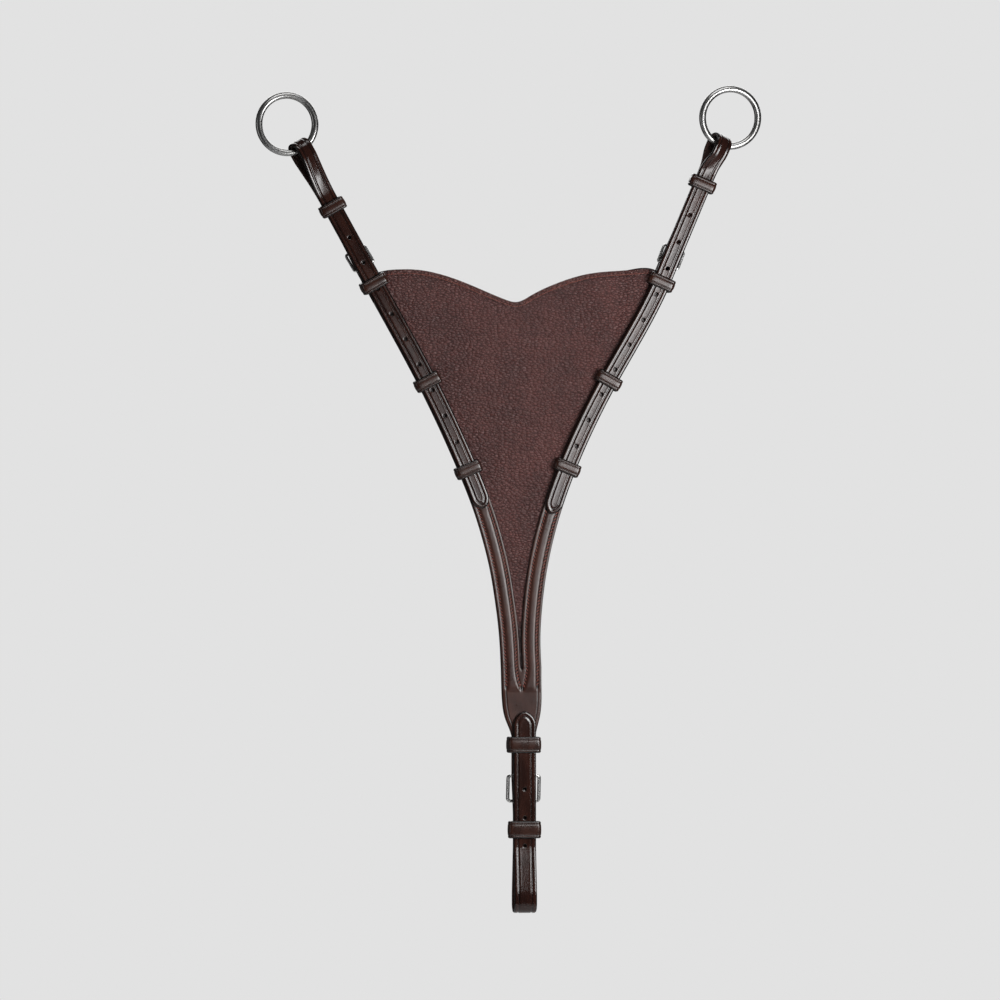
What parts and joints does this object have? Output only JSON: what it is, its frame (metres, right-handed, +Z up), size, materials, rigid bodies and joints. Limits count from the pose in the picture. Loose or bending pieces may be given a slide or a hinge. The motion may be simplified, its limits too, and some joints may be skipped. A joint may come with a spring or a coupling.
{
  "type": "bib running-martingale attachment",
  "caption": "Leather bib martingale attachment: forked strap with a heart-topped bib, buckled ring straps with steel rein rings, and a buckled bottom loop for the breastplate.",
  "frame": {"origin": "middle of the bottom strap's loop, in the plane of the rein rings, as the part hangs", "axes": "+Z up from the bottom loop towards the rings, -Y the front (the grain side), +X the viewer's right"},
  "size_m": [0.4462, 0.0214, 0.7208],
  "materials": {
    "strap_leather": "glossy dark brown bridle leather",
    "fork_leather": "glossy dark brown bridle leather, stitched",
    "keeper_leather": "glossy dark brown creased leather",
    "bib_leather": "pebbled maroon-brown soft leather",
    "lining_leather": "matte brown flesh-side lining",
    "steel": "polished stainless steel"
  },
  "bodies": {
    "bib": {"bib_panel": "bib_leather", "bib_lining": "lining_leather", "top_binding": "strap_leather", "fork_front": "fork_leather", "fork_lining": "lining_leather", "left_strap_billet": "strap_leather", "right_strap_billet": "strap_leather", "bottom_strap_billet": "strap_leather", "left_strap_tail": "strap_leather", "right_strap_tail": "strap_leather", "bottom_strap_tail": "strap_leather", "left_upper_keeper": "keeper_leather", "left_middle_keeper": "keeper_leather", "left_lower_keeper": "keeper_leather", "right_upper_keeper": "keeper_leather", "right_middle_keeper": "keeper_leather", "right_lower_keeper": "keeper_leather", "neck_keeper": "keeper_leather"},
    "left_strap": {"left_strap_loop": "strap_leather", "left_buckle_frame": "steel"},
    "left_tongue": {"left_buckle_tongue": "steel"},
    "left_runner": {"left_runner": "keeper_leather"},
    "left_ring": {"left_ring": "steel"},
    "right_strap": {"right_strap_loop": "strap_leather", "right_buckle_frame": "steel"},
    "right_tongue": {"right_buckle_tongue": "steel"},
    "right_runner": {"right_runner": "keeper_leather"},
    "right_ring": {"right_ring": "steel"},
    "bottom_strap": {"bottom_strap_loop": "strap_leather", "bottom_buckle_frame": "steel"},
    "bottom_tongue": {"bottom_buckle_tongue": "steel"},
    "bottom_runner": {"bottom_runner": "keeper_leather"}
  },
  "joints": [
    {"name": "left_strap_flex", "type": "hinge", "parent": "bib", "child": "left_strap", "pos_m": [-0.1403, 0.00365, 0.5537], "axis": [0.8746, 0, 0.4848], "range_deg": [-35, 35], "stiffness_Nm_per_rad": 0.3},
    {"name": "left_tongue_lift", "type": "hinge", "parent": "left_strap", "child": "left_tongue", "pos_m": [-0.1403, 0.00365, 0.5537], "axis": [0.8746, 0, 0.4848], "range_deg": [-6, 0]},
    {"name": "left_runner_slide", "type": "slide", "parent": "left_strap", "child": "left_runner", "axis": [-0.4848, 0, 0.8746], "range_m": [-0.02, 0.002]},
    {"name": "left_ring_swing", "type": "hinge", "parent": "left_strap", "child": "left_ring", "pos_m": [-0.19654, 0, 0.65516], "axis": [0.8698, 0.1045, 0.4822], "range_deg": [-150, 150]},
    {"name": "right_strap_flex", "type": "hinge", "parent": "bib", "child": "right_strap", "pos_m": [0.1271, 0.00365, 0.5554], "axis": [0.9205, 0, -0.3907], "range_deg": [-35, 35], "stiffness_Nm_per_rad": 0.3},
    {"name": "right_tongue_lift", "type": "hinge", "parent": "right_strap", "child": "right_tongue", "pos_m": [0.1271, 0.00365, 0.5554], "axis": [0.9205, 0, -0.3907], "range_deg": [-6, 0]},
    {"name": "right_runner_slide", "type": "slide", "parent": "right_strap", "child": "right_runner", "axis": [0.3907, 0, 0.9205], "range_m": [-0.038, 0.002]},
    {"name": "right_ring_swing", "type": "hinge", "parent": "right_strap", "child": "right_ring", "pos_m": [0.17203, 0, 0.66126], "axis": [0.9155, 0.1045, -0.3886], "range_deg": [-150, 150]},
    {"name": "bottom_strap_flex", "type": "hinge", "parent": "bib", "child": "bottom_strap", "pos_m": [0, 0.00395, 0.1108], "axis": [-1, 0, 0], "range_deg": [-35, 35], "stiffness_Nm_per_rad": 0.15},
    {"name": "bottom_tongue_lift", "type": "hinge", "parent": "bottom_strap", "child": "bottom_tongue", "pos_m": [0, 0.00395, 0.1108], "axis": [-1, 0, 0], "range_deg": [-6, 0]},
    {"name": "bottom_runner_slide", "type": "slide", "parent": "bottom_strap", "child": "bottom_runner", "axis": [0, 0, -1], "range_m": [-0.007, 0.002]}
  ]
}
